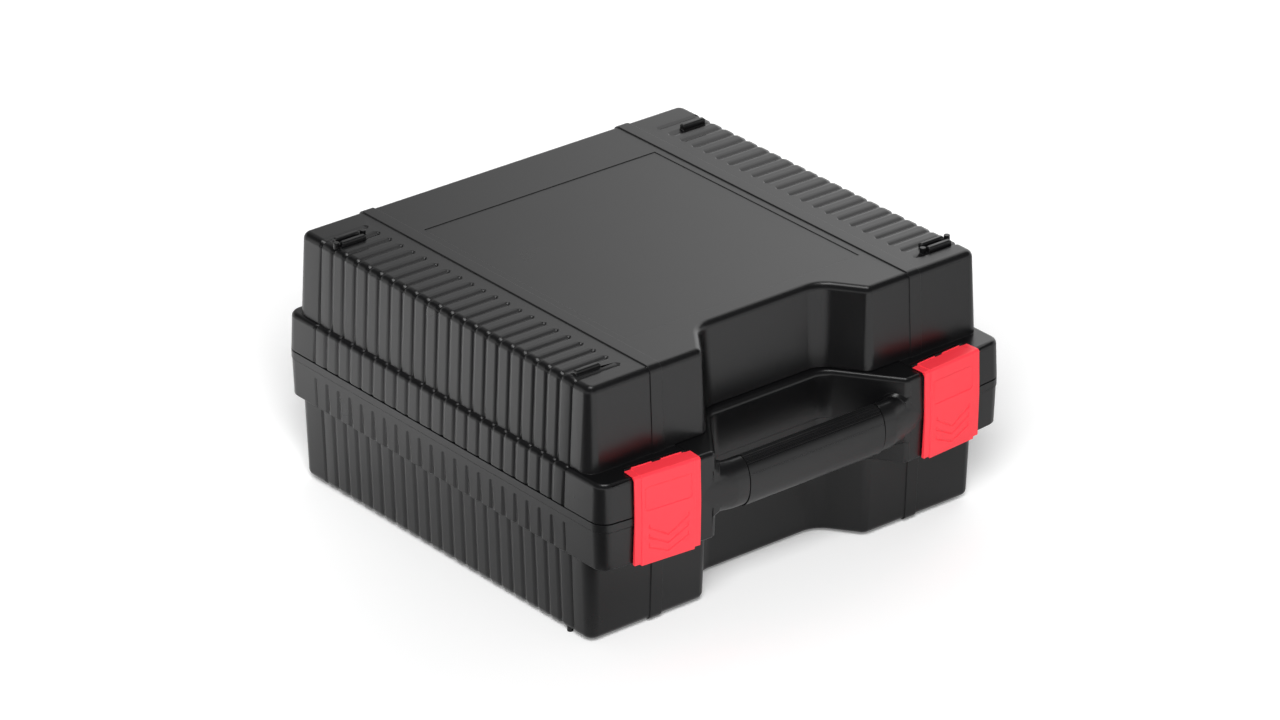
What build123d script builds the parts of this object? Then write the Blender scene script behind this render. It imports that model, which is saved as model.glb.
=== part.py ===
from build123d import *
from math import atan2, cos, degrees, radians, sin, sqrt, tan
import os

# A hard transport case in injection-moulded polypropylene: a base tub and a lid with corrugated
# sides, a belt round the parting, a carrying handle in a front pocket, two snap latches that hang
# from the lid, and two pinned hinges at the back.
# Millimetres. X runs along the front, +Y to the back, +Z up. The origin is on the ground, under
# the middle of the case, and the front of the handle and the backs of the hinges are as far from it.

# Heights, from the ground up.
foot_height = 3.2
tub_depth = 61.0
base_belt_height = 34.8
rim_strip_height = 5.8
parting_gap = 0.7
lid_belt_height = 27.7
lid_box_height = 60.9

# Plan of the belt. Its front is a long shallow bow.
belt_half_width = 175.0
belt_back = 173.5
bow_front = 180.2
bow_drop = 9.6
belt_corner = 10.8
rim_proud = 0.4

# Steps from the belt in to the lid box, at its foot, and to the tub, at the belt.
lid_side_step = 5.0
lid_front_step = 27.9
lid_back_step = 7.6
tub_side_step = 5.7
tub_front_step = 28.3
tub_back_step = 6.9
box_corner = 9.3

# The hand pocket in the front, a trapezium in plan.
pocket_wall = 123.7
pocket_half_width = 50.0
pocket_slant = 54.0
pocket_inner_round = 17.0
pocket_outer_round = 9.0
belt_pocket_wall = 131.0
belt_pocket_half_width = 49.0
belt_pocket_inner_round = 14.0
belt_pocket_outer_round = 6.0
pocket_zone = 15.0
mouth_steps = 4
block_margin = 20.0

# Draft angles of the moulds, and the rounds of the edges, in degrees and millimetres.
lid_draft = 2.7
tub_draft = 2.1
lid_belt_draft = 2.4
base_belt_draft = 2.0
top_round = 5.3
bottom_round = 4.4
shelf_round = 3.7
belt_under_chamfer = 1.4

# Walls, and the lap where the lid's edge steps over the base's lip.
wall = 3.0
belt_wall = 4.0
lap_height = 3.0
lap_thickness = 1.4
lap_clearance = 0.4

# The front bridge is the part of the base that rises to the shelf between the two latches.
bridge_half_width = 97.2
bridge_gap = 0.4
bridge_shelf = 3.0
bridge_lip = 1.6

# Side corrugation.
groove_count = 22
groove_pitch = 12.92
groove_back_margin = 33.7
groove_depth = 1.6
groove_flank = 3.1
round_facets = 2
groove_top_reach = 41.0
groove_top_ramp = 2.0
groove_run_in = 3.5
groove_under_reach = 9.0

# Raised bands, the bare label panel and the stacking lugs.
band_margin = 58.0
band_width = 9.9
band_proud = 0.8
panel_side_margin = 11.0
panel_front_margin = 46.8
panel_back_margin = 54.9
panel_depth = 0.5
lug_side_margin = 19.5
lug_back_margin = 36.4
lug_front_margin = 25.8
lug_length = 20.0
lug_width = 3.8
lug_height = 3.2
lug_pair_pitch = 7.6
lug_chamfer = 0.9
post_radius = 2.1
post_reach = 13.0
post_offset = 2.4

# Handle: an upright oval bar. The grip's two shells close round a moulded core.
grip_proud = 3.2
grip_z = 97.4
grip_half_thickness = 10.8
grip_half_height = 17.8
grip_swell = 0.6
grip_half_length = 58.4
grip_seam = 0.6
grip_split_tilt = 36.0
grip_bay_width = 12.8
grip_bay_height = 20.8
grip_rib = 2.0
grip_bays = 2
grip_line_depth = 0.5
grip_line_start = 50.0
grip_line_step = 9.0
grip_line_count = 9
core_thickness = 8.0
core_height = 24.0
core_clearance = 0.2
core_round = 2.0
root_straight = 9.0
root_reach = 38.0
root_setback = 6.5
collar_round = 3.0
collar_steps = ((-0.3, 1.0), (0.3, 0.4), (1.0, 0.0))

# Latches: each turned to follow the bow, hung by clips on a bar in a trough of the lid's shelf.
latch_width = 52.4
latch_side_gap = 0.2
latch_flange = 5.0
latch_step = 0.6
latch_clearance = 0.4
latch_thickness = 2.3
latch_below_belt = 1.0
latch_top_plate = 1.4
latch_top_gap = 0.4
latch_low_face = 2.1
latch_high_face = 1.7
latch_fold = 10.8
latch_fold_round = 2.0
latch_heel = 1.8
latch_heel_depth = 2.8
latch_lip_reach = 1.0
chevron_count = 3
chevron_half_width = 16.0
chevron_apex = 5.1
chevron_apex_pitch = 5.95
chevron_end = 12.3
chevron_end_pitch = 7.05
chevron_line = 1.0
chevron_depth = 0.5
chevron_serif = 3.0
tag_foot = 3.0
tag_height = 17.0
tag_half_width = 18.6
tag_round = 2.5
tag_depth = 0.3
bar_radius = 1.6
bar_setback = 13.9
bar_sink = 0.6
clip_clearance = 0.06
clip_wall = 1.4
clip_inner = 3.6
clip_outer = 20.0
clip_open_front = 55.0
clip_open_back = 195.0
bar_half_length = 24.4
bar_lug = 3.0
bar_lug_half_depth = 1.2
trough_half_length = 22.6
trough_depth = 4.4
trough_front = 7.7
trough_back = 17.5
trough_wall = 2.0

# Rear hinges.
hinge_margin = 63.0
hinge_length = 60.0
hinge_knuckle = 14.0
hinge_knuckle_radius = 4.5
hinge_pin_radius = 2.0
hinge_offset = 5.4
hinge_gap = 0.5
hinge_web = 9.0
hinge_pin_clearance = 0.05

tub_bottom = foot_height
belt_bottom = tub_bottom + tub_depth
rim_top = belt_bottom + base_belt_height
strip_bottom = rim_top - rim_strip_height
lid_edge = rim_top + parting_gap
shelf = lid_edge + lid_belt_height
lid_top = shelf + lid_box_height
bow_radius = (belt_half_width**2 + bow_drop**2) / (2 * bow_drop)
lid_half_width = belt_half_width - lid_side_step
lid_front = bow_front - lid_front_step
lid_back = belt_back - lid_back_step
tub_half_width = belt_half_width - tub_side_step
tub_front = bow_front - tub_front_step
tub_back = belt_back - tub_back_step
band_offset = lid_half_width - band_margin
panel_half_width = band_offset - panel_side_margin
panel_front = panel_front_margin - lid_front
panel_back = lid_back - panel_back_margin
lug_x = lid_half_width - lug_side_margin
lug_back_y = lid_back - lug_back_margin
lug_front_y = lug_front_margin - lid_front
groove_last_y = belt_back - groove_back_margin
latch_x = bridge_half_width + latch_side_gap + latch_width / 2
hinge_x = belt_half_width - hinge_margin
grip_y = grip_half_thickness - grip_proud - bow_front


def bow(x):
    """The belt's front at a distance from the middle."""
    return bow_radius - bow_front - sqrt(bow_radius**2 - x**2)


def box_plan(height, half_width, front, back, inset=0.0):
    """The plan of the lid box or the tub, with its pocket, drawn in by a wall."""
    mouth = pocket_half_width + (front - pocket_wall) / tan(radians(pocket_slant))
    with BuildSketch(Plane.XY.offset(height)) as plan:
        with BuildLine():
            Polyline(
                (-half_width, -front),
                (-mouth, -front),
                (-pocket_half_width, -pocket_wall),
                (pocket_half_width, -pocket_wall),
                (mouth, -front),
                (half_width, -front),
                (half_width, back),
                (-half_width, back),
                close=True,
            )
        make_face()
        corners = plan.vertices()
        fillet(corners.filter_by(lambda v: abs(v.X) > mouth + 1), box_corner)
        inner = plan.vertices().filter_by(lambda v: abs(v.Y + pocket_wall) < 0.01)
        fillet(inner, pocket_inner_round)
        outer = plan.vertices().filter_by(lambda v: abs(abs(v.X) - mouth) < 0.01)
        fillet(outer, pocket_outer_round)
        if inset:
            offset(amount=-inset)
    return plan.sketch


def hollow_plan(height, half_width, front, back):
    """The plan of the hollow behind a box's wall, its outer corners drawn as straight facets."""
    mouth = pocket_half_width + (front - pocket_wall) / tan(radians(pocket_slant))
    corners = [
        ((-half_width, -front), box_corner),
        ((-mouth, -front), pocket_outer_round),
        ((-pocket_half_width, -pocket_wall), 0),
        ((pocket_half_width, -pocket_wall), 0),
        ((mouth, -front), pocket_outer_round),
        ((half_width, -front), box_corner),
        ((half_width, back), box_corner),
        ((-half_width, back), box_corner),
    ]
    points = []
    for k, (corner, radius) in enumerate(corners):
        after = corners[(k + 1) % len(corners)][0]
        points += facets(corners[k - 1][0], corner, after, radius) if radius else [corner]
    with BuildSketch(Plane.XY.offset(height)) as plan:
        with BuildLine():
            Polyline(*points, close=True)
        make_face()
        inner = plan.vertices().filter_by(lambda v: abs(v.Y + pocket_wall) < 0.01)
        fillet(inner, pocket_inner_round)
        offset(amount=-wall, kind=Kind.INTERSECTION)
    return plan.sketch


def belt_plan(height, inset=0.0):
    """The plan of the belt, bowed at the front, with its pocket, drawn in by a wall."""
    mouth = belt_pocket_half_width
    for _ in range(mouth_steps):
        mouth = belt_pocket_half_width + (-bow(mouth) - belt_pocket_wall) / tan(radians(pocket_slant))
    middle = (mouth + belt_half_width) / 2
    with BuildSketch(Plane.XY.offset(height)) as plan:
        with BuildLine():
            ThreePointArc(
                (-belt_half_width, bow(belt_half_width)), (-middle, bow(middle)), (-mouth, bow(mouth))
            )
            Polyline(
                (-mouth, bow(mouth)),
                (-belt_pocket_half_width, -belt_pocket_wall),
                (belt_pocket_half_width, -belt_pocket_wall),
                (mouth, bow(mouth)),
            )
            ThreePointArc(
                (mouth, bow(mouth)), (middle, bow(middle)), (belt_half_width, bow(belt_half_width))
            )
            Polyline(
                (belt_half_width, bow(belt_half_width)),
                (belt_half_width, belt_back),
                (-belt_half_width, belt_back),
                (-belt_half_width, bow(belt_half_width)),
            )
        make_face()
        fillet(plan.vertices().filter_by(lambda v: abs(v.X) > mouth + 1), belt_corner)
        inner = plan.vertices().filter_by(lambda v: abs(v.Y + belt_pocket_wall) < 0.01)
        fillet(inner, belt_pocket_inner_round)
        outer = plan.vertices().filter_by(lambda v: abs(abs(v.X) - mouth) < 0.01)
        fillet(outer, belt_pocket_outer_round)
        if inset:
            offset(amount=-inset)
    return plan.sketch


def front_block(height, half_width, reach):
    """A rectangle over the front of the case, back to a given reach from the middle."""
    front = bow_front + block_margin
    with BuildSketch(Plane.XY.offset(height)) as block:
        with Locations((0, -(front + reach) / 2)):
            Rectangle(2 * half_width, front - reach)
    return block.sketch


def facets(before, corner, after, radius):
    """Points along a round at a corner of a section, for a line of straight facets."""
    here = Vector(*corner)
    back = (Vector(*before) - here).normalized()
    ahead = (Vector(*after) - here).normalized()
    half = radians(back.get_angle(ahead) / 2)
    centre = here + (back + ahead).normalized() * (radius / sin(half))
    first = here + back * (radius / tan(half)) - centre
    turn = (180 - degrees(2 * half)) / round_facets
    turn = turn if back.cross(ahead).Z < 0 else -turn
    points = [centre + first.rotate(Axis.Z, turn * k) for k in range(round_facets + 1)]
    return [(point.X, point.Y) for point in points]


def flat_faced(form):
    """The same form, with a plane for each of its faces."""
    return Solid(Shell([Face(side.outer_wire()) for side in form.faces()]))


def round_trims(*rounds):
    """What straight facets take off the rounds along the corrugated right side."""
    with BuildPart() as trims:
        for before, corner, after, radius in rounds:
            points = facets(before, corner, after, radius)
            inward = (Vector(*points[0]) + Vector(*points[-1])) / 2 - Vector(*corner)
            outside = Vector(*corner) - inward
            with BuildSketch(Plane.XZ.offset(-groove_last_y)):
                with BuildLine():
                    Polyline(*points, (outside.X, outside.Y), close=True)
                make_face()
            extrude(amount=groove_pitch * (groove_count - 1))
    return trims.part


os.makedirs("parts", exist_ok=True)


def hinge_web_side(y_wall, y_axis, z_axis, z_edge, reach):
    """The web that ties a hinge knuckle to its wall, above the parting or, with reach below 0, under it."""
    with BuildSketch(Plane.YZ) as web:
        with BuildLine():
            Polyline(
                (y_wall, z_edge),
                (y_wall, z_edge + reach),
                (y_axis, z_axis + reach / abs(reach) * hinge_knuckle_radius),
                (y_axis, z_edge),
                close=True,
            )
        make_face()
    return web.sketch


def latch_plane(side):
    """The upright plane through a latch's middle, square to the bow. X points out, Y up."""
    bow_centre = bow_radius - bow_front
    outward = Vector(side * latch_x, bow(latch_x) - bow_centre, 0).normalized()
    return Plane(
        origin=(side * latch_x, bow(latch_x), 0), x_dir=outward, z_dir=outward.cross(Vector(0, 0, 1))
    )


def upright_box(plane, low, high):
    """A rectangle on an upright plane from its low corner to its high one."""
    with BuildSketch(plane) as face:
        with Locations(((low[0] + high[0]) / 2, (low[1] + high[1]) / 2)):
            Rectangle(high[0] - low[0], high[1] - low[1])
    return face.sketch


def leaning_plane(plane, foot, head):
    """The plane on a latch's face through two points of its section. Y runs up from the first."""
    rise = Vector(head[0] - foot[0], head[1] - foot[1]).normalized()
    up = plane.x_dir * rise.X + plane.y_dir * rise.Y
    outward = plane.x_dir * rise.Y - plane.y_dir * rise.X
    return Plane(origin=plane.from_local_coords(foot), x_dir=up.cross(outward), z_dir=outward)


def around(place, reach, angle):
    """A point at a distance and an angle from another."""
    return (place[0] + reach * cos(radians(angle)), place[1] + reach * sin(radians(angle)))


pocket_reach = pocket_wall - pocket_zone
bridge_foot = wall + lap_clearance + bridge_lip
lid_end_wall = bridge_half_width + bridge_gap + wall
lid_box_sizes = (lid_half_width, lid_front, lid_back)
tub_sizes = (tub_half_width, tub_front, tub_back)
hinge_y = belt_back + hinge_offset
hinge_z = (rim_top + lid_edge) / 2
groove_rows = [(0, groove_last_y - groove_pitch * k, 0) for k in range(groove_count)]
flank_taper = degrees(atan2(groove_depth, groove_flank))

# The whole belt above the parting, which the lid and the front bridge of the base share.
with BuildPart() as upper_belt:
    extrude(belt_plan(lid_edge), amount=lid_belt_height, taper=lid_belt_draft)
    fillet(upper_belt.faces().sort_by(Axis.Z)[-1].edges(), shelf_round)

# The base's belt under its plain rim strip.
with BuildPart() as lower_belt:
    extrude(
        belt_plan(strip_bottom, rim_proud),
        amount=-(strip_bottom - belt_bottom),
        taper=base_belt_draft,
    )
    chamfer(lower_belt.faces().sort_by(Axis.Z)[0].edges(), belt_under_chamfer)

# A groove of the lid's side is what lies outside the wall's section, drawn in by its depth.
lid_side_top = lid_half_width - lid_box_height * tan(radians(lid_draft))
belt_side_top = belt_half_width - lid_belt_height * tan(radians(lid_belt_draft))
lid_groove_end = lid_side_top - groove_top_reach
shelf_turn = ((belt_half_width, lid_edge), (belt_side_top, shelf), (0, shelf), shelf_round)
top_turn = ((lid_half_width, shelf), (lid_side_top, lid_top), (0, lid_top), top_round)
with BuildSketch(Plane.XZ) as lid_groove_face:
    with BuildLine():
        Polyline(
            (belt_half_width + wall, lid_edge - wall),
            (belt_half_width + wall, lid_top + wall),
            (lid_groove_end, lid_top + wall),
            (lid_groove_end, lid_top),
            (lid_groove_end + groove_top_ramp, lid_top - groove_depth),
            (lid_groove_end + groove_top_ramp, lid_edge - wall),
            close=True,
        )
    make_face()
    with BuildSketch(Plane.XZ, mode=Mode.PRIVATE) as lid_section:
        with BuildLine():
            Polyline(
                (0, lid_edge - lid_belt_height),
                (belt_half_width, lid_edge - lid_belt_height),
                (belt_half_width, lid_edge),
                *facets(*shelf_turn),
                (lid_half_width, shelf),
                *facets(*top_turn),
                (0, lid_top),
                close=True,
            )
        make_face()
        offset(amount=-groove_depth, kind=Kind.INTERSECTION)
    add(lid_section.sketch, mode=Mode.SUBTRACT)

lid_trims = round_trims(shelf_turn, top_turn)
with BuildPart() as lid_wedge:
    extrude(lid_groove_face.sketch, amount=groove_flank, both=True, taper=flank_taper)
lid_groove = flat_faced(lid_wedge.part)

# A groove of the base's side runs from under the rim strip, round the belt and the tub's foot.
tub_side_low = tub_half_width - tub_depth * tan(radians(tub_draft))
belt_side_low = (
    belt_half_width - rim_proud - (strip_bottom - belt_bottom) * tan(radians(base_belt_draft))
)
base_groove_top = strip_bottom - groove_run_in
base_groove_end = tub_side_low - groove_under_reach
belt_side_foot = belt_half_width - rim_proud
belt_lean = radians(base_belt_draft)
belt_chamfer_top = (
    belt_side_low + belt_under_chamfer * sin(belt_lean),
    belt_bottom + belt_under_chamfer * cos(belt_lean),
)
foot_turn = (
    (tub_half_width, belt_bottom),
    (tub_side_low, tub_bottom),
    (0, tub_bottom),
    bottom_round,
)
with BuildSketch(Plane.XZ) as base_groove_face:
    with BuildLine():
        Polyline(
            (belt_half_width + wall, base_groove_top),
            (belt_side_foot, base_groove_top),
            (belt_side_foot - 2 * groove_depth, base_groove_top - 2 * groove_top_ramp),
            (base_groove_end + groove_top_ramp, base_groove_top - 2 * groove_top_ramp),
            (base_groove_end + groove_top_ramp, tub_bottom + groove_depth),
            (base_groove_end, tub_bottom),
            (base_groove_end, tub_bottom - wall),
            (belt_half_width + wall, tub_bottom - wall),
            close=True,
        )
    make_face()
    with BuildSketch(Plane.XZ, mode=Mode.PRIVATE) as base_section:
        with BuildLine():
            Polyline(
                (0, strip_bottom + wall),
                (belt_side_foot, strip_bottom + wall),
                (belt_side_foot, strip_bottom),
                belt_chamfer_top,
                (belt_side_low - belt_under_chamfer, belt_bottom),
                (tub_half_width, belt_bottom),
                *facets(*foot_turn),
                (0, tub_bottom),
                close=True,
            )
        make_face()
        offset(amount=-groove_depth, kind=Kind.INTERSECTION)
    add(base_section.sketch, mode=Mode.SUBTRACT)

base_trims = round_trims(foot_turn)
with BuildPart() as base_wedge:
    extrude(base_groove_face.sketch, amount=groove_flank, both=True, taper=flank_taper)
base_groove = flat_faced(base_wedge.part)

# The raised bands are slices of the same moulded form, a little larger all round.
with BuildPart() as lid_bands:
    extrude(
        box_plan(shelf, *lid_box_sizes, inset=-band_proud),
        amount=lid_box_height + band_proud,
        taper=lid_draft,
    )
    fillet(lid_bands.faces().sort_by(Axis.Z)[-1].edges(), top_round)
    with BuildSketch(Plane.XY.offset(shelf)):
        with Locations((-band_offset, 0), (band_offset, 0)):
            Rectangle(band_width, 3 * belt_back)
    extrude(amount=lid_box_height + band_proud, mode=Mode.INTERSECT)

# The tub is drawn upside down, standing on the belt's underside, and is mirrored into place.
with BuildPart() as tub_form:
    extrude(
        box_plan(belt_bottom, *tub_sizes, inset=-band_proud), amount=tub_depth + band_proud, taper=tub_draft
    )
    fillet(tub_form.faces().sort_by(Axis.Z)[-1].edges(), bottom_round)
    with BuildSketch(Plane.XY.offset(belt_bottom)):
        with Locations((-band_offset, 0), (band_offset, 0)):
            Rectangle(band_width, 3 * belt_back)
    extrude(amount=tub_depth + band_proud, mode=Mode.INTERSECT)
    with BuildPart(mode=Mode.PRIVATE) as tub_body:
        extrude(box_plan(belt_bottom, *tub_sizes), amount=tub_depth, taper=tub_draft)
        fillet(tub_body.faces().sort_by(Axis.Z)[-1].edges(), bottom_round)
    add(tub_body.part)
    mirror(about=Plane.XY.offset(belt_bottom), mode=Mode.REPLACE)

with BuildPart() as tub_hollow:
    extrude(hollow_plan(belt_bottom, *tub_sizes), amount=tub_depth - wall, taper=tub_draft)
    mirror(about=Plane.XY.offset(belt_bottom), mode=Mode.REPLACE)

# Stacking lugs: pairs of bars with posts at their ends take the single bar of the next case.
lug_pairs = [(-lug_x, lug_back_y), (lug_x, lug_front_y)]
lug_singles = [(-lug_x, lug_front_y), (lug_x, lug_back_y)]
bar_places = lug_singles + [
    (x, y + step * lug_pair_pitch / 2) for x, y in lug_pairs for step in (-1, 1)
]
post_places = [
    (x + step * post_reach, y + step * post_offset) for x, y in lug_pairs for step in (-1, 1)
]

with BuildPart() as lid_lugs:
    with BuildSketch(Plane.XY.offset(lid_top - wall / 2)):
        with Locations(*bar_places):
            Rectangle(lug_length, lug_width)
    extrude(amount=lug_height + wall / 2)
    chamfer(lid_lugs.faces().filter_by(Plane.XY).group_by(Axis.Z)[-1].edges(), lug_chamfer)
    with BuildSketch(Plane.XY.offset(lid_top - wall / 2)):
        with Locations(*post_places):
            Circle(post_radius)
    extrude(amount=lug_height + wall / 2)

with BuildPart() as feet:
    with BuildSketch(Plane.XY.offset(tub_bottom + wall / 2)):
        with Locations(*[(-x, y) for x, y in bar_places]):
            Rectangle(lug_length, lug_width)
    extrude(amount=-(foot_height + wall / 2))
    chamfer(feet.faces().filter_by(Plane.XY).group_by(Axis.Z)[0].edges(), lug_chamfer)
    with BuildSketch(Plane.XY.offset(tub_bottom + wall / 2)):
        with Locations(*[(-x, y) for x, y in post_places]):
            Circle(post_radius)
    extrude(amount=-(foot_height + wall / 2))

# The front bridge: the belt's middle third, from the rim up to the shelf.
with BuildPart() as bridge:
    extrude(belt_plan(rim_top), amount=parting_gap)
    add(upper_belt.part)
    with BuildSketch(Plane.XY.offset(rim_top)) as bridge_area:
        add(front_block(rim_top, bridge_half_width, pocket_reach))
        add(box_plan(rim_top, *lid_box_sizes, inset=bridge_foot), mode=Mode.SUBTRACT)
    extrude(amount=shelf - rim_top, mode=Mode.INTERSECT)

# The handle's roots run from the seams into the slanted walls of the pocket, and lean back until
# they are flush with the front. A collar blends each into its wall.
root_face = grip_half_length + grip_seam
root_start = root_face + root_straight
root_lean = root_setback / (root_reach - root_straight)
slant = radians(pocket_slant)
crossing = belt_pocket_half_width + (-grip_y - belt_pocket_wall) / tan(slant)
wall_across = Vector(cos(slant), -sin(slant), 0)
wall_out = Vector(-sin(slant), -cos(slant), 0)
with BuildPart() as root:
    for place, setback in ((root_face, 0), (root_start, 0), (root_face + root_reach, root_setback)):
        with BuildSketch(Plane.YZ.offset(place)):
            with Locations((grip_y + setback, grip_z)):
                Ellipse(grip_half_thickness, grip_half_height)
    loft(ruled=True)
    with BuildPart(mode=Mode.PRIVATE) as collar:
        for reach, growth in collar_steps:
            x = crossing - reach * collar_round / sin(slant)
            middle = (x, grip_y + max(0, x - root_start) * root_lean, grip_z)
            with BuildSketch(Plane(origin=middle, x_dir=wall_across, z_dir=wall_out)):
                Ellipse(
                    grip_half_thickness / sin(slant) + growth * collar_round,
                    grip_half_height + growth * collar_round,
                )
        loft(ruled=True)
        with BuildSketch(Plane.XY.offset(belt_bottom)):
            with BuildLine():
                end = (belt_half_width, bow(belt_half_width))
                arc = ThreePointArc((-end[0], end[1]), (0, -bow_front), end)
                Polyline(end, (end[0], 0), (-end[0], 0), arc @ 0)
            make_face()
        extrude(amount=shelf - belt_bottom, mode=Mode.INTERSECT)
    add(collar.part)
    mirror(about=Plane.YZ)

with BuildPart() as base_shell:
    add(tub_form.part)
    add(lower_belt.part)
    extrude(belt_plan(strip_bottom), amount=rim_strip_height)
    add(bridge.part)
    add(root.part)
    # The hollow: the tub, the step of the belt, and the room under the bridge.
    add(tub_hollow.part, mode=Mode.SUBTRACT)
    extrude(hollow_plan(belt_bottom, *tub_sizes), amount=wall, mode=Mode.SUBTRACT)
    extrude(
        belt_plan(belt_bottom + wall, belt_wall), amount=rim_top - belt_bottom - wall, mode=Mode.SUBTRACT
    )
    with BuildSketch(Plane.XY.offset(rim_top)):
        add(front_block(rim_top, bridge_half_width - wall, pocket_reach))
        add(belt_plan(rim_top, belt_wall), mode=Mode.INTERSECT)
    extrude(amount=shelf - bridge_shelf - rim_top, mode=Mode.SUBTRACT)
    # The lips that the lid's lower edge and the foot of its front wall step over.
    with BuildSketch(Plane.XY.offset(rim_top)):
        add(belt_plan(rim_top, belt_wall - lap_thickness))
        add(belt_plan(rim_top, belt_wall), mode=Mode.SUBTRACT)
        add(front_block(rim_top, lid_end_wall + lap_clearance, pocket_reach), mode=Mode.SUBTRACT)
    extrude(amount=lap_height)
    with BuildSketch(Plane.XY.offset(shelf)):
        add(front_block(shelf, bridge_half_width, pocket_reach))
        add(box_plan(shelf, *lid_box_sizes, inset=wall + lap_clearance), mode=Mode.INTERSECT)
        add(box_plan(shelf, *lid_box_sizes, inset=bridge_foot), mode=Mode.SUBTRACT)
    extrude(amount=lap_height)
    # The core that the grip closes round.
    with BuildSketch(Plane.YZ):
        with Locations((grip_y, grip_z)):
            RectangleRounded(core_thickness, core_height, core_round)
    extrude(amount=root_face + grip_seam, both=True)
    # Hinge knuckles, two at each end of a hinge.
    web = hinge_web_side(belt_back - belt_wall / 2, hinge_y, hinge_z, rim_top, -hinge_web)
    for middle in (-hinge_x, hinge_x):
        for end in (-1, 1):
            near = middle + end * (hinge_length / 2 - hinge_knuckle / 2)
            with BuildSketch(Plane.YZ.offset(near)):
                with Locations((hinge_y, hinge_z)):
                    Circle(hinge_knuckle_radius)
            extrude(amount=hinge_knuckle / 2, both=True)
            extrude(web.moved(Location((near, 0, 0))), amount=hinge_knuckle / 2, both=True)
        with BuildSketch(Plane.YZ.offset(middle)):
            with Locations((hinge_y, hinge_z)):
                Circle(hinge_pin_radius)
        extrude(amount=hinge_length, both=True, mode=Mode.SUBTRACT)
    add(base_trims, mode=Mode.SUBTRACT)
    add(base_trims.mirror(Plane.YZ), mode=Mode.SUBTRACT)
    with Locations(*groove_rows):
        add(base_groove, mode=Mode.SUBTRACT)
        add(base_groove.mirror(Plane.YZ), mode=Mode.SUBTRACT)
    add(feet.part)
base_shell.part.label = "base_shell"
export_step(base_shell.part, "parts/base_shell.step")

with BuildPart() as lid_shell:
    add(upper_belt.part)
    extrude(box_plan(shelf, *lid_box_sizes), amount=lid_box_height, taper=lid_draft)
    top_edges = lid_shell.faces().sort_by(Axis.Z)[-1].edges()
    fillet(top_edges, top_round)
    add(lid_bands.part)
    # The bare label panel, sunk a little.
    with BuildSketch(Plane.XY.offset(lid_top)):
        with Locations((0, (panel_back + panel_front) / 2)):
            Rectangle(2 * panel_half_width, panel_back - panel_front)
    extrude(amount=-panel_depth, mode=Mode.SUBTRACT)
    # The hollow, and the room for the base's front bridge.
    extrude(
        front_block(lid_edge, bridge_half_width + bridge_gap, pocket_reach),
        amount=lid_belt_height + bridge_gap,
        mode=Mode.SUBTRACT,
    )
    with BuildSketch(Plane.XY.offset(lid_edge)):
        add(belt_plan(lid_edge, belt_wall))
        add(front_block(lid_edge, lid_end_wall, lid_front - wall), mode=Mode.SUBTRACT)
    extrude(amount=lid_belt_height - bridge_shelf, mode=Mode.SUBTRACT)
    extrude(hollow_plan(shelf, *lid_box_sizes), amount=-bridge_shelf, mode=Mode.SUBTRACT)
    extrude(
        hollow_plan(shelf, *lid_box_sizes),
        amount=lid_box_height - wall,
        taper=lid_draft,
        mode=Mode.SUBTRACT,
    )
    with BuildSketch(Plane.XY.offset(lid_edge)):
        add(belt_plan(lid_edge, belt_wall - lap_thickness - lap_clearance))
        add(front_block(lid_edge, lid_end_wall, lid_front - wall), mode=Mode.SUBTRACT)
    extrude(amount=lap_height, mode=Mode.SUBTRACT)
    # Each latch's trough in the shelf, with the moulded bar that the latch hangs on.
    for side in (-1, 1):
        upright = latch_plane(side)
        pan = upright_box(
            upright,
            (-trough_back - trough_wall, shelf - trough_depth - trough_wall),
            (-trough_front + trough_wall, shelf - bridge_shelf),
        )
        extrude(pan, amount=trough_half_length + trough_wall, both=True)
        trough = upright_box(
            upright, (-trough_back, shelf - trough_depth), (-trough_front, shelf + wall)
        )
        extrude(trough, amount=trough_half_length, both=True, mode=Mode.SUBTRACT)
        with BuildSketch(upright):
            with Locations((-bar_setback, shelf - bar_sink)):
                Circle(bar_radius)
        extrude(amount=bar_half_length, both=True)
        lug = upright_box(
            upright,
            (-bar_setback - bar_lug_half_depth, shelf - trough_depth),
            (-bar_setback + bar_lug_half_depth, shelf - bar_sink),
        )
        extrude(lug, amount=bar_lug, both=True)
    # Hinge knuckles, one in the middle of each hinge.
    web = hinge_web_side(belt_back - belt_wall / 2, hinge_y, hinge_z, lid_edge, hinge_web)
    lid_knuckle = hinge_length / 2 - hinge_knuckle - hinge_gap
    for middle in (-hinge_x, hinge_x):
        with BuildSketch(Plane.YZ.offset(middle)):
            with Locations((hinge_y, hinge_z)):
                Circle(hinge_knuckle_radius)
        extrude(amount=lid_knuckle, both=True)
        extrude(web.moved(Location((middle, 0, 0))), amount=lid_knuckle, both=True)
        with BuildSketch(Plane.YZ.offset(middle)):
            with Locations((hinge_y, hinge_z)):
                Circle(hinge_pin_radius + hinge_pin_clearance)
        extrude(amount=hinge_length, both=True, mode=Mode.SUBTRACT)
    add(lid_trims, mode=Mode.SUBTRACT)
    add(lid_trims.mirror(Plane.YZ), mode=Mode.SUBTRACT)
    with Locations(*groove_rows):
        add(lid_groove, mode=Mode.SUBTRACT)
        add(lid_groove.mirror(Plane.YZ), mode=Mode.SUBTRACT)
    add(lid_lugs.part)
lid_shell.part.label = "lid_shell"
export_step(lid_shell.part, "parts/lid_shell.step")

# Steel hinge pins, pressed into the base's knuckles.
for middle, name in ((-hinge_x, "hinge_pin_left"), (hinge_x, "hinge_pin_right")):
    with BuildPart() as hinge_pin:
        with BuildSketch(Plane.YZ.offset(middle)):
            with Locations((hinge_y, hinge_z)):
                Circle(hinge_pin_radius)
        extrude(amount=hinge_length / 2 - hinge_gap, both=True)
    hinge_pin.part.label = name
    export_step(hinge_pin.part, f"parts/{name}.step")

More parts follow.
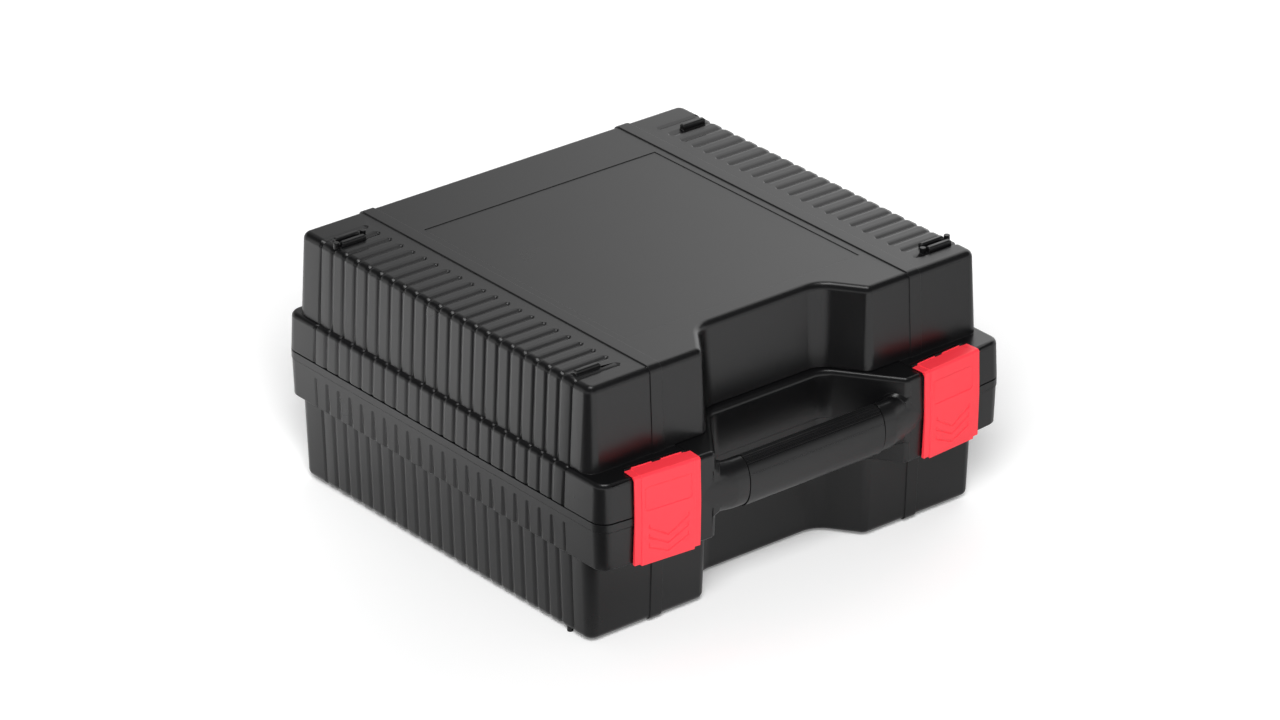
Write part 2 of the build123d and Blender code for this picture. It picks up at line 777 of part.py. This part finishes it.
# The grip: two shells round the core, parted on a slope, the upper one lined for the hand.
tilt = radians(grip_split_tilt)
split_plane = Plane(origin=(0, grip_y, grip_z), x_dir=(1, 0, 0), z_dir=(0, sin(tilt), cos(tilt)))
bay = (2 * grip_half_length - grip_rib) / grip_bays
for name, keep in (("grip_upper", Keep.TOP), ("grip_lower", Keep.BOTTOM)):
    with BuildPart() as grip:
        with BuildSketch(Plane.YZ.offset(-grip_half_length)):
            with Locations((grip_y, grip_z - grip_swell)):
                Ellipse(grip_half_thickness, grip_half_height + grip_swell)
        extrude(amount=2 * grip_half_length)
        for k in range(grip_bays):
            with BuildSketch(Plane.YZ.offset(-grip_half_length + grip_rib + k * bay)):
                with Locations((grip_y, grip_z)):
                    Rectangle(grip_bay_width, grip_bay_height)
            extrude(amount=bay - grip_rib, mode=Mode.SUBTRACT)
        with BuildSketch(Plane.YZ):
            with Locations((grip_y, grip_z)):
                RectangleRounded(
                    core_thickness + 2 * core_clearance, core_height + 2 * core_clearance, core_round
                )
        extrude(amount=2 * grip_half_length, both=True, mode=Mode.SUBTRACT)
        if keep == Keep.TOP:
            with BuildSketch(Plane.YZ.offset(-grip_half_length)):
                for k in range(grip_line_count):
                    turn = radians(grip_line_start + k * grip_line_step)
                    with Locations(
                        (grip_y - grip_half_thickness * cos(turn), grip_z + grip_half_height * sin(turn))
                    ):
                        Rectangle(2 * grip_line_depth, 2 * grip_line_depth, rotation=45)
            extrude(amount=2 * grip_half_length, mode=Mode.SUBTRACT)
        split(bisect_by=split_plane, keep=keep)
    grip.part.label = name
    export_step(grip.part, f"parts/{name}.step")

# The latches. A heavier main panel stands out between two side flanges.
plate_top = shelf + latch_top_gap + latch_top_plate
bar_place = (-bar_setback, shelf - bar_sink)


def latch_profile(upright, step):
    """The section of a latch from its lip under the belt to its fold over the shelf."""
    low = belt_bottom - latch_below_belt + 2 * step
    face = latch_clearance + latch_thickness - step
    fold = (latch_high_face - step, plate_top - step / 2)
    with BuildSketch(upright) as profile:
        with BuildLine():
            Polyline(
                (latch_low_face - step, low),
                (face, strip_bottom),
                (face, lid_edge),
                fold,
                (-latch_fold, plate_top - step / 2),
                (-latch_fold, shelf + latch_top_gap),
                (-latch_fold_round, shelf + latch_top_gap),
                (0, shelf - latch_fold_round),
                (latch_clearance, lid_edge),
                (latch_clearance, strip_bottom),
                (-latch_lip_reach, belt_bottom + latch_lip_reach),
                (-latch_lip_reach, low),
                close=True,
            )
        make_face()
        fillet(profile.vertices().sort_by_distance(fold)[0], latch_fold_round)
    return profile.sketch


for side, name in ((-1, "latch_left"), (1, "latch_right")):
    upright = latch_plane(side)
    with BuildPart() as latch:
        extrude(latch_profile(upright, latch_step), amount=latch_width / 2, both=True)
        extrude(latch_profile(upright, 0), amount=latch_width / 2 - latch_flange, both=True)
        heel = upright_box(
            upright,
            (-latch_fold, shelf - latch_heel_depth),
            (-latch_fold + latch_heel, plate_top - latch_step),
        )
        extrude(heel, amount=trough_half_length - latch_clearance, both=True)
        # Three chevrons give the thumb a hold, under a shallow place for a tag that is left bare.
        face = latch_clearance + latch_thickness
        low = belt_bottom - latch_below_belt
        with BuildSketch(leaning_plane(upright, (latch_low_face, low), (face, strip_bottom))):
            for k in range(chevron_count):
                apex = chevron_apex + k * chevron_apex_pitch
                end = chevron_end + k * chevron_end_pitch
                for reach in (-chevron_half_width, chevron_half_width):
                    inner = reach - reach / abs(reach) * chevron_line
                    with BuildLine():
                        Polyline(
                            (0, apex),
                            (reach, end),
                            (reach, end + chevron_serif),
                            (inner, end + chevron_serif),
                            (inner, end + chevron_line / 2),
                            (0, apex + chevron_line),
                            close=True,
                        )
                    make_face()
        extrude(amount=-chevron_depth, mode=Mode.SUBTRACT)
        with BuildSketch(leaning_plane(upright, (face, lid_edge), (latch_high_face, plate_top))):
            with Locations((0, tag_foot + tag_height / 2)):
                RectangleRounded(2 * tag_half_width, tag_height, tag_round)
        extrude(amount=-tag_depth, mode=Mode.SUBTRACT)
        # The clips snap on the lid's bar from below and in front, and leave its top free.
        for end in (-1, 1):
            with BuildSketch(upright.offset(end * (clip_inner + clip_outer) / 2)):
                with Locations(bar_place):
                    Circle(bar_radius + clip_clearance + clip_wall)
                with Locations((-(bar_setback + latch_fold - bar_radius) / 2, shelf - latch_heel_depth / 2)):
                    Rectangle(bar_setback - latch_fold, latch_heel_depth)
                with Locations(bar_place):
                    Circle(bar_radius + clip_clearance, mode=Mode.SUBTRACT)
                with BuildLine():
                    Polyline(
                        bar_place,
                        around(bar_place, 3 * bar_radius, clip_open_front),
                        around(bar_place, 4 * bar_radius, (clip_open_front + clip_open_back) / 2),
                        around(bar_place, 3 * bar_radius, clip_open_back),
                        close=True,
                    )
                make_face(mode=Mode.SUBTRACT)
            extrude(amount=(clip_outer - clip_inner) / 2, both=True)
    latch.part.label = name
    export_step(latch.part, f"parts/{name}.step")
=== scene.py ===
from math import radians

import bpy
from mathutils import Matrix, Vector


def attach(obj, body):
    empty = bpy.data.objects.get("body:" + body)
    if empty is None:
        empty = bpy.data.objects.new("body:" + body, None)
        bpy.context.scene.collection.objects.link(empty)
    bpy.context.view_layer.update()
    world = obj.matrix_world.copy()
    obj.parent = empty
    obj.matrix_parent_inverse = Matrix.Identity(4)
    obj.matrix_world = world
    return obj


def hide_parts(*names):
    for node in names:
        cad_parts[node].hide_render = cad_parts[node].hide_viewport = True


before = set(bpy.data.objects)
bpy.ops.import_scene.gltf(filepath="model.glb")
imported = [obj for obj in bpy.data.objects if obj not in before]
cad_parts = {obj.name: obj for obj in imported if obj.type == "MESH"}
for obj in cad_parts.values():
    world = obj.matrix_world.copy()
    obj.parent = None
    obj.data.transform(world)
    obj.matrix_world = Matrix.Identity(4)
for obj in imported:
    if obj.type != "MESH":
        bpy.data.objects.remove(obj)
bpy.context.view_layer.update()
bpy.ops.object.select_all(action="DESELECT")

# The shells of the case, base tub and lid: each is one injection moulding in black polypropylene.
# The mould leaves soft edges, and its polished and then lightly grained steel gives an even satin
# sheen. Twenty-two flutes down each side stiffen the walls, and the lid's label panel is bare.
# Lengths are in metres. The flutes' pitch, place and half width are those of the solids, and the
# values under them shape the copies: narrow flutes with round rims on the walls, shallow ones on top.
merge_reach = 0.000002
flat_angle = radians(0.6)
moulded_edge = 0.00035
flute_pitch = 0.01292
flute_last = 0.1398
flute_count = 22
flute_half_width = 0.0031
flute_rim = 0.0015
flute_root = 0.0004
flute_side = 0.12
flute_narrowing = 0.62
wall_lift = 0.35
strip_lift = 0.15
strip_root_height = 0.1855
strip_rim_height = 0.1875


def linear(hex_colour):
    """The linear colour of an sRGB hex value."""
    parts = [int(hex_colour[k : k + 2], 16) / 255 for k in (1, 3, 5)]
    return [p / 12.92 if p <= 0.04045 else ((p + 0.055) / 1.055) ** 2.4 for p in parts] + [1]


def add_node(tree, kind, inputs=None, **settings):
    """Adds a node to a tree; an input is a value, or the output of another node to link."""
    node = tree.nodes.new(kind)
    for key, value in settings.items():
        setattr(node, key, value)
    for key, value in (inputs or {}).items():
        if isinstance(value, bpy.types.NodeSocket):
            tree.links.new(value, node.inputs[key])
        else:
            node.inputs[key].default_value = value
    return node


def merged_copy(node, name, sharp):
    """A copy of a CAD node with its triangles merged into its real faces, its sharp edges selected."""
    piece = bpy.data.objects.new(name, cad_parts[node].data.copy())
    bpy.context.scene.collection.objects.link(piece)
    piece.data.materials.clear()
    bpy.context.view_layer.objects.active = piece
    piece.select_set(True)
    bpy.ops.mesh.customdata_custom_splitnormals_clear()
    bpy.ops.object.mode_set(mode="EDIT")
    bpy.ops.mesh.select_all(action="SELECT")
    bpy.ops.mesh.remove_doubles(threshold=merge_reach)
    bpy.ops.mesh.dissolve_limited(angle_limit=flat_angle)
    bpy.ops.mesh.select_all(action="DESELECT")
    bpy.ops.mesh.select_mode(type="EDGE")
    bpy.ops.mesh.edges_select_sharp(sharpness=sharp)
    bpy.ops.object.mode_set(mode="OBJECT")
    return piece


def flute_place(point):
    """The row of the flute next to a point, and "root" or "rim" for a point that lies on it."""
    row = round((flute_last - point.y) / flute_pitch)
    reach = abs(flute_last - row * flute_pitch - point.y)
    if abs(point.x) < flute_side or not 0 <= row < flute_count:
        return row, ""
    if reach < merge_reach:
        return row, "root"
    return row, "rim" if abs(reach - flute_half_width) < merge_reach else ""


def soften_flutes(piece):
    """Draws the flutes' rims together on the walls and lifts their roots, less on the top strips."""
    mesh = piece.data
    rims = {}
    for line in mesh.edges:
        ends = [(k, flute_place(mesh.vertices[k].co)[1]) for k in line.vertices]
        for (here, kind), (there, other) in (ends, ends[::-1]):
            if (kind, other) == ("root", "rim"):
                rims.setdefault(here, []).append(mesh.vertices[there].co.copy())
    for root, places in rims.items():
        point = mesh.vertices[root].co
        outward = sum(places, Vector()) / len(places) - point
        outward.y = 0
        lift = strip_lift if point.z > strip_root_height else wall_lift
        mesh.vertices[root].co = point + outward * lift
    for vertex in mesh.vertices:
        row, kind = flute_place(vertex.co)
        if kind == "rim" and vertex.co.z < strip_rim_height:
            middle = flute_last - row * flute_pitch
            vertex.co.y = middle + (vertex.co.y - middle) * flute_narrowing


def flute_edge(start, end, width):
    """The rounding of an edge on the fluted sides, from its place on a flute."""
    row, kind = flute_place(start)
    if min(abs(start.x), abs(end.x)) < flute_side or row not in range(flute_count):
        return width
    if row in (0, flute_count - 1) and (kind or flute_place(end)[1]):
        return 0
    if abs(start.y - end.y) > merge_reach:
        return width
    return {"root": flute_root, "rim": flute_rim}.get(kind, width)


def round_edges(piece, edge, steps, smooth, flutes=False):
    """Rounds the selected edges, and smooths the surface while its flats stay flat."""
    mesh = piece.data
    weights = mesh.attributes.new("bevel_weight_edge", "FLOAT", "EDGE")
    places = mesh.vertices
    for line, weight in zip(mesh.edges, weights.data):
        width = edge if line.select else 0
        if flutes:
            width = flute_edge(*(places[k].co for k in line.vertices), width)
        weight.value = width / flute_rim
    if flutes:
        soften_flutes(piece)
    rounding = piece.modifiers.new("edge", "BEVEL")
    rounding.width = flute_rim
    rounding.segments = steps
    rounding.limit_method = "WEIGHT"
    rounding.use_clamp_overlap = False
    bpy.ops.object.modifier_apply(modifier=rounding.name)
    bpy.ops.object.shade_smooth_by_angle(angle=smooth)
    flats = piece.modifiers.new("flats", "WEIGHTED_NORMAL")
    flats.keep_sharp = True
    bpy.ops.object.modifier_apply(modifier=flats.name)
    piece.select_set(False)


# Satin black polypropylene: a deep even black that takes its greys from what it mirrors. Its grain
# of about 0.5 mm is drawn as very fine bumps, and the sheen varies a little over some 45 mm, where
# the melt flowed.
moulded_black = bpy.data.materials.new("moulded_black_polypropylene")
moulded_black.use_nodes = True
tree = moulded_black.node_tree
surface = tree.nodes["Principled BSDF"]
place = add_node(tree, "ShaderNodeTexCoord")
flow = add_node(
    tree, "ShaderNodeTexNoise", {"Vector": place.outputs["Object"], "Scale": 22, "Detail": 3}
)
grain = add_node(
    tree, "ShaderNodeTexNoise", {"Vector": place.outputs["Object"], "Scale": 1900, "Detail": 2}
)
tint = add_node(
    tree,
    "ShaderNodeMix",
    {"Factor": flow.outputs["Fac"], "A": linear("#0b0b0c"), "B": linear("#0f0f10")},
    data_type="RGBA",
)
sheen = add_node(
    tree,
    "ShaderNodeMapRange",
    {"Value": flow.outputs["Fac"], "To Min": 0.26, "To Max": 0.31},
)
bumps = add_node(
    tree,
    "ShaderNodeBump",
    {"Height": grain.outputs["Fac"], "Strength": 0.2, "Distance": 0.00002},
)
tree.links.new(tint.outputs["Result"], surface.inputs["Base Color"])
tree.links.new(sheen.outputs["Result"], surface.inputs["Roughness"])
tree.links.new(bumps.outputs["Normal"], surface.inputs["Normal"])
surface.inputs["IOR"].default_value = 1.49

for node, body in (("base_shell", "base"), ("lid_shell", "lid")):
    shell = merged_copy(node, node + "_moulding", radians(46))
    round_edges(shell, moulded_edge, 4, radians(46), flutes=True)
    shell.data.materials.append(moulded_black)
    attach(shell, body)
    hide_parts(node)

# The hand grip: two half-shells moulded in the same black as the shells and closed round the
# handle's core. Fine lines along them keep the hand from slipping.
for node in ("grip_upper", "grip_lower"):
    half = merged_copy(node, node + "_moulding", radians(40))
    round_edges(half, 0.00012, 2, radians(40))
    half.data.materials.append(moulded_black)
    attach(half, "base")
    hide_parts(node)

# The latches: each is one injection moulding in red acetal, harder and springier than the shells,
# snapped into its hinge seat on the lid. The broad soft sheen keeps the bright red even.
moulded_red = bpy.data.materials.new("moulded_red_acetal")
moulded_red.use_nodes = True
tree = moulded_red.node_tree
surface = tree.nodes["Principled BSDF"]
place = add_node(tree, "ShaderNodeTexCoord")
grain = add_node(
    tree, "ShaderNodeTexNoise", {"Vector": place.outputs["Object"], "Scale": 1900, "Detail": 2}
)
bumps = add_node(
    tree,
    "ShaderNodeBump",
    {"Height": grain.outputs["Fac"], "Strength": 0.2, "Distance": 0.00002},
)
tree.links.new(bumps.outputs["Normal"], surface.inputs["Normal"])
surface.inputs["Base Color"].default_value = linear("#fe3845")
surface.inputs["Roughness"].default_value = 0.4
for node in ("latch_left", "latch_right"):
    latch = merged_copy(node, node + "_moulding", radians(28))
    round_edges(latch, 0.0003, 3, radians(34))
    latch.data.materials.append(moulded_red)
    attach(latch, node)
    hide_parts(node)

# The hinge pins: drawn steel rod, cut to length and pressed into the base's knuckles. Bare metal
# gives a bright line where a pin shows between two knuckles.
drawn_steel = bpy.data.materials.new("drawn_steel")
drawn_steel.use_nodes = True
surface = drawn_steel.node_tree.nodes["Principled BSDF"]
surface.inputs["Base Color"].default_value = linear("#b9bbbd")
surface.inputs["Metallic"].default_value = 1
surface.inputs["Roughness"].default_value = 0.28
for node in ("hinge_pin_left", "hinge_pin_right"):
    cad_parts[node].data.materials.clear()
    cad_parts[node].data.materials.append(drawn_steel)

# The studio floor: a sweep of matt white paper, which holds the case's soft shadow. In what the case
# mirrors of it, painted shade stands in for the dark where no light stands: the paper's colour for
# reflections is painted darker near its foot, at the right and towards the camera.
bpy.ops.mesh.primitive_plane_add(size=40, location=(0, 0, 0))
floor = bpy.context.active_object
floor.name = "floor"
white_paper = bpy.data.materials.new("matt_white_paper")
white_paper.use_nodes = True
tree = white_paper.node_tree
surface = tree.nodes["Principled BSDF"]
surface.inputs["Roughness"].default_value = 0.9
surface.inputs["Specular IOR Level"].default_value = 0
place = add_node(tree, "ShaderNodeTexCoord").outputs["Object"]
rays = add_node(tree, "ShaderNodeLightPath").outputs
sideways, inward = (
    add_node(
        tree, "ShaderNodeVectorMath", {0: place, 1: direction}, operation="DOT_PRODUCT"
    ).outputs["Value"]
    for direction in ((0.775, -0.632, 0), (0.632, 0.775, 0))
)
aside = add_node(tree, "ShaderNodeVectorMath", {0: place}, operation="ABSOLUTE").outputs["Vector"]
aside = add_node(tree, "ShaderNodeSeparateXYZ", {"Vector": aside}).outputs
reach = add_node(
    tree, "ShaderNodeMath", {0: aside["X"], 1: aside["Y"]}, operation="MAXIMUM"
).outputs["Value"]

# Each fade goes smoothly from one level at its start, in metres, to another at its end. The painted
# shade that is mirrored at the right and in front is dark only on its own side of the line to the
# camera.
painted_foot_shade, painted_right_shade, right_side, painted_front_shade, front_side, far_away = (
    add_node(
        tree,
        "ShaderNodeMapRange",
        {"Value": value, "From Min": start, "From Max": end, "To Min": low, "To Max": high},
        interpolation_type="SMOOTHSTEP",
    ).outputs["Result"]
    for value, start, end, low, high in (
        (reach, 0.19, 0.32, 0.86, 1),
        (inward, -0.2, -0.05, 1, 0.66),
        (sideways, 0, 0.1, 1, 0),
        (inward, -0.38, -0.12, 0.1, 1),
        (sideways, 0, 0.08, 0, 1),
        (reach, 0.3, 1, 0.18, 1),
    )
)
mirrored = painted_foot_shade
for level, side in ((painted_right_shade, right_side), (painted_front_shade, front_side)):
    level = add_node(tree, "ShaderNodeMath", {0: level, 1: side}, operation="MAXIMUM")
    mirrored = add_node(
        tree,
        "ShaderNodeMath",
        {0: mirrored, 1: level.outputs["Value"]},
        operation="MULTIPLY",
    ).outputs["Value"]
# Glossy rays see the paper with its painted shade; all other rays see the plain white paper.
paper_and_painted_shade = add_node(
    tree,
    "ShaderNodeMix",
    {"Factor": rays["Is Glossy Ray"], "A": linear("#f2f2f2"), "B": mirrored},
    data_type="RGBA",
)
tree.links.new(paper_and_painted_shade.outputs["Result"], surface.inputs["Base Color"])
surface.inputs["Emission Color"].default_value = (1, 1, 1, 1)
white = add_node(
    tree, "ShaderNodeMath", {0: rays["Is Camera Ray"], 1: far_away}, operation="MULTIPLY"
)
tree.links.new(white.outputs["Value"], surface.inputs["Emission Strength"])
floor.data.materials.append(white_paper)

# A lit diffuser card behind the case at the right, brighter towards its right end: the lid's top
# mirrors it, which gives the black its grey shading from left to right.
bpy.ops.mesh.primitive_plane_add(size=1)
card = bpy.context.active_object
card.name = "diffuser_card"
card.scale = (2.2, 1.6, 1)
bpy.ops.object.transform_apply(location=False, rotation=False, scale=True)
card.location = (0.62, 0.76, 0.95)
card.rotation_euler = (radians(90), 0, radians(-39.2158))
lit_diffuser = bpy.data.materials.new("lit_diffuser")
lit_diffuser.use_nodes = True
tree = lit_diffuser.node_tree
surface = tree.nodes["Principled BSDF"]
surface.inputs["Base Color"].default_value = (0, 0, 0, 1)
surface.inputs["Specular IOR Level"].default_value = 0
place = add_node(tree, "ShaderNodeTexCoord")
across = add_node(tree, "ShaderNodeSeparateXYZ", {"Vector": place.outputs["Object"]})
glow = add_node(
    tree,
    "ShaderNodeMapRange",
    {
        "Value": across.outputs["X"],
        "From Min": -0.35,
        "From Max": 0.35,
        "To Min": 0.35,
        "To Max": 1.55,
    },
)
surface.inputs["Emission Color"].default_value = (1, 1, 1, 1)
tree.links.new(glow.outputs["Result"], surface.inputs["Emission Strength"])
card.data.materials.append(lit_diffuser)
card.visible_camera = False
card.visible_shadow = False

# The room: white for the camera, and in the case's mirrored view bright near the horizon and dark
# above. A broad lamp at the front left lights the case, one above it is only mirrored, as small
# lights on the flutes' corners, and a spot brightens the floor that the left side mirrors.
sky = bpy.data.worlds.new("studio_sky")
sky.use_nodes = True
bpy.context.scene.world = sky
background = sky.node_tree.nodes["Background"]
background.inputs["Color"].default_value = (1, 1, 1, 1)
tree = sky.node_tree
rays = add_node(tree, "ShaderNodeLightPath").outputs
place = add_node(tree, "ShaderNodeTexCoord").outputs["Generated"]
upward = add_node(tree, "ShaderNodeSeparateXYZ", {"Vector": place}).outputs["Z"]
above = add_node(
    tree,
    "ShaderNodeMapRange",
    {"Value": upward, "From Min": 0.1, "From Max": 0.45, "To Min": 0.75, "To Max": -0.15},
    interpolation_type="SMOOTHSTEP",
).outputs["Result"]
level = 0.25
for seen_by, change in (("Is Camera Ray", 0.75), ("Is Glossy Ray", above)):
    level = add_node(
        tree,
        "ShaderNodeMath",
        {0: rays[seen_by], 1: change, 2: level},
        operation="MULTIPLY_ADD",
    ).outputs["Value"]
tree.links.new(level, background.inputs["Strength"])

for name, place, size, power, aim, mirrored in (
    ("top_softbox", (0, 0, 2.6), 1.1, 17, (0, 0, 0), True),
    ("front_softbox", (-1.8, -2.2, 2.6), 1.5, 138, (0, 0, 0.1), False),
):
    bpy.ops.object.light_add(type="AREA", location=place)
    lamp = bpy.context.active_object
    lamp.name = name
    lamp.data.shape = "DISK"
    lamp.data.size = size
    lamp.data.energy = power
    lamp.visible_glossy = mirrored
    lamp.visible_diffuse = not mirrored
    aim = Vector(aim) - lamp.location
    lamp.rotation_euler = aim.to_track_quat("-Z", "Y").to_euler()

bpy.ops.object.light_add(type="SPOT", location=(-0.75, 0.5, 2.4))
lamp = bpy.context.active_object
lamp.name = "side_spot"
lamp.data.energy = 165
lamp.visible_glossy = False
lamp.data.spot_size = radians(28)
lamp.data.spot_blend = 1
lamp.data.shadow_soft_size = 0.1
aim = Vector((-0.62, 0.42, 0)) - lamp.location
lamp.rotation_euler = aim.to_track_quat("-Z", "Y").to_euler()

# The camera stands where the photograph was taken from, fitted to the straight edges of the case.
bpy.ops.object.camera_add(location=(-2.43564, -2.98119, 2.00136))
camera = bpy.context.active_object
camera.name = "camera"
camera.rotation_euler = (radians(90 - 26.2777), 0, radians(-39.2158))
camera.data.sensor_width = 36
camera.data.lens = 177.3
camera.data.clip_start = 0.1
camera.data.clip_end = 50
bpy.context.scene.camera = camera
bpy.context.scene.view_settings.view_transform = "Standard"
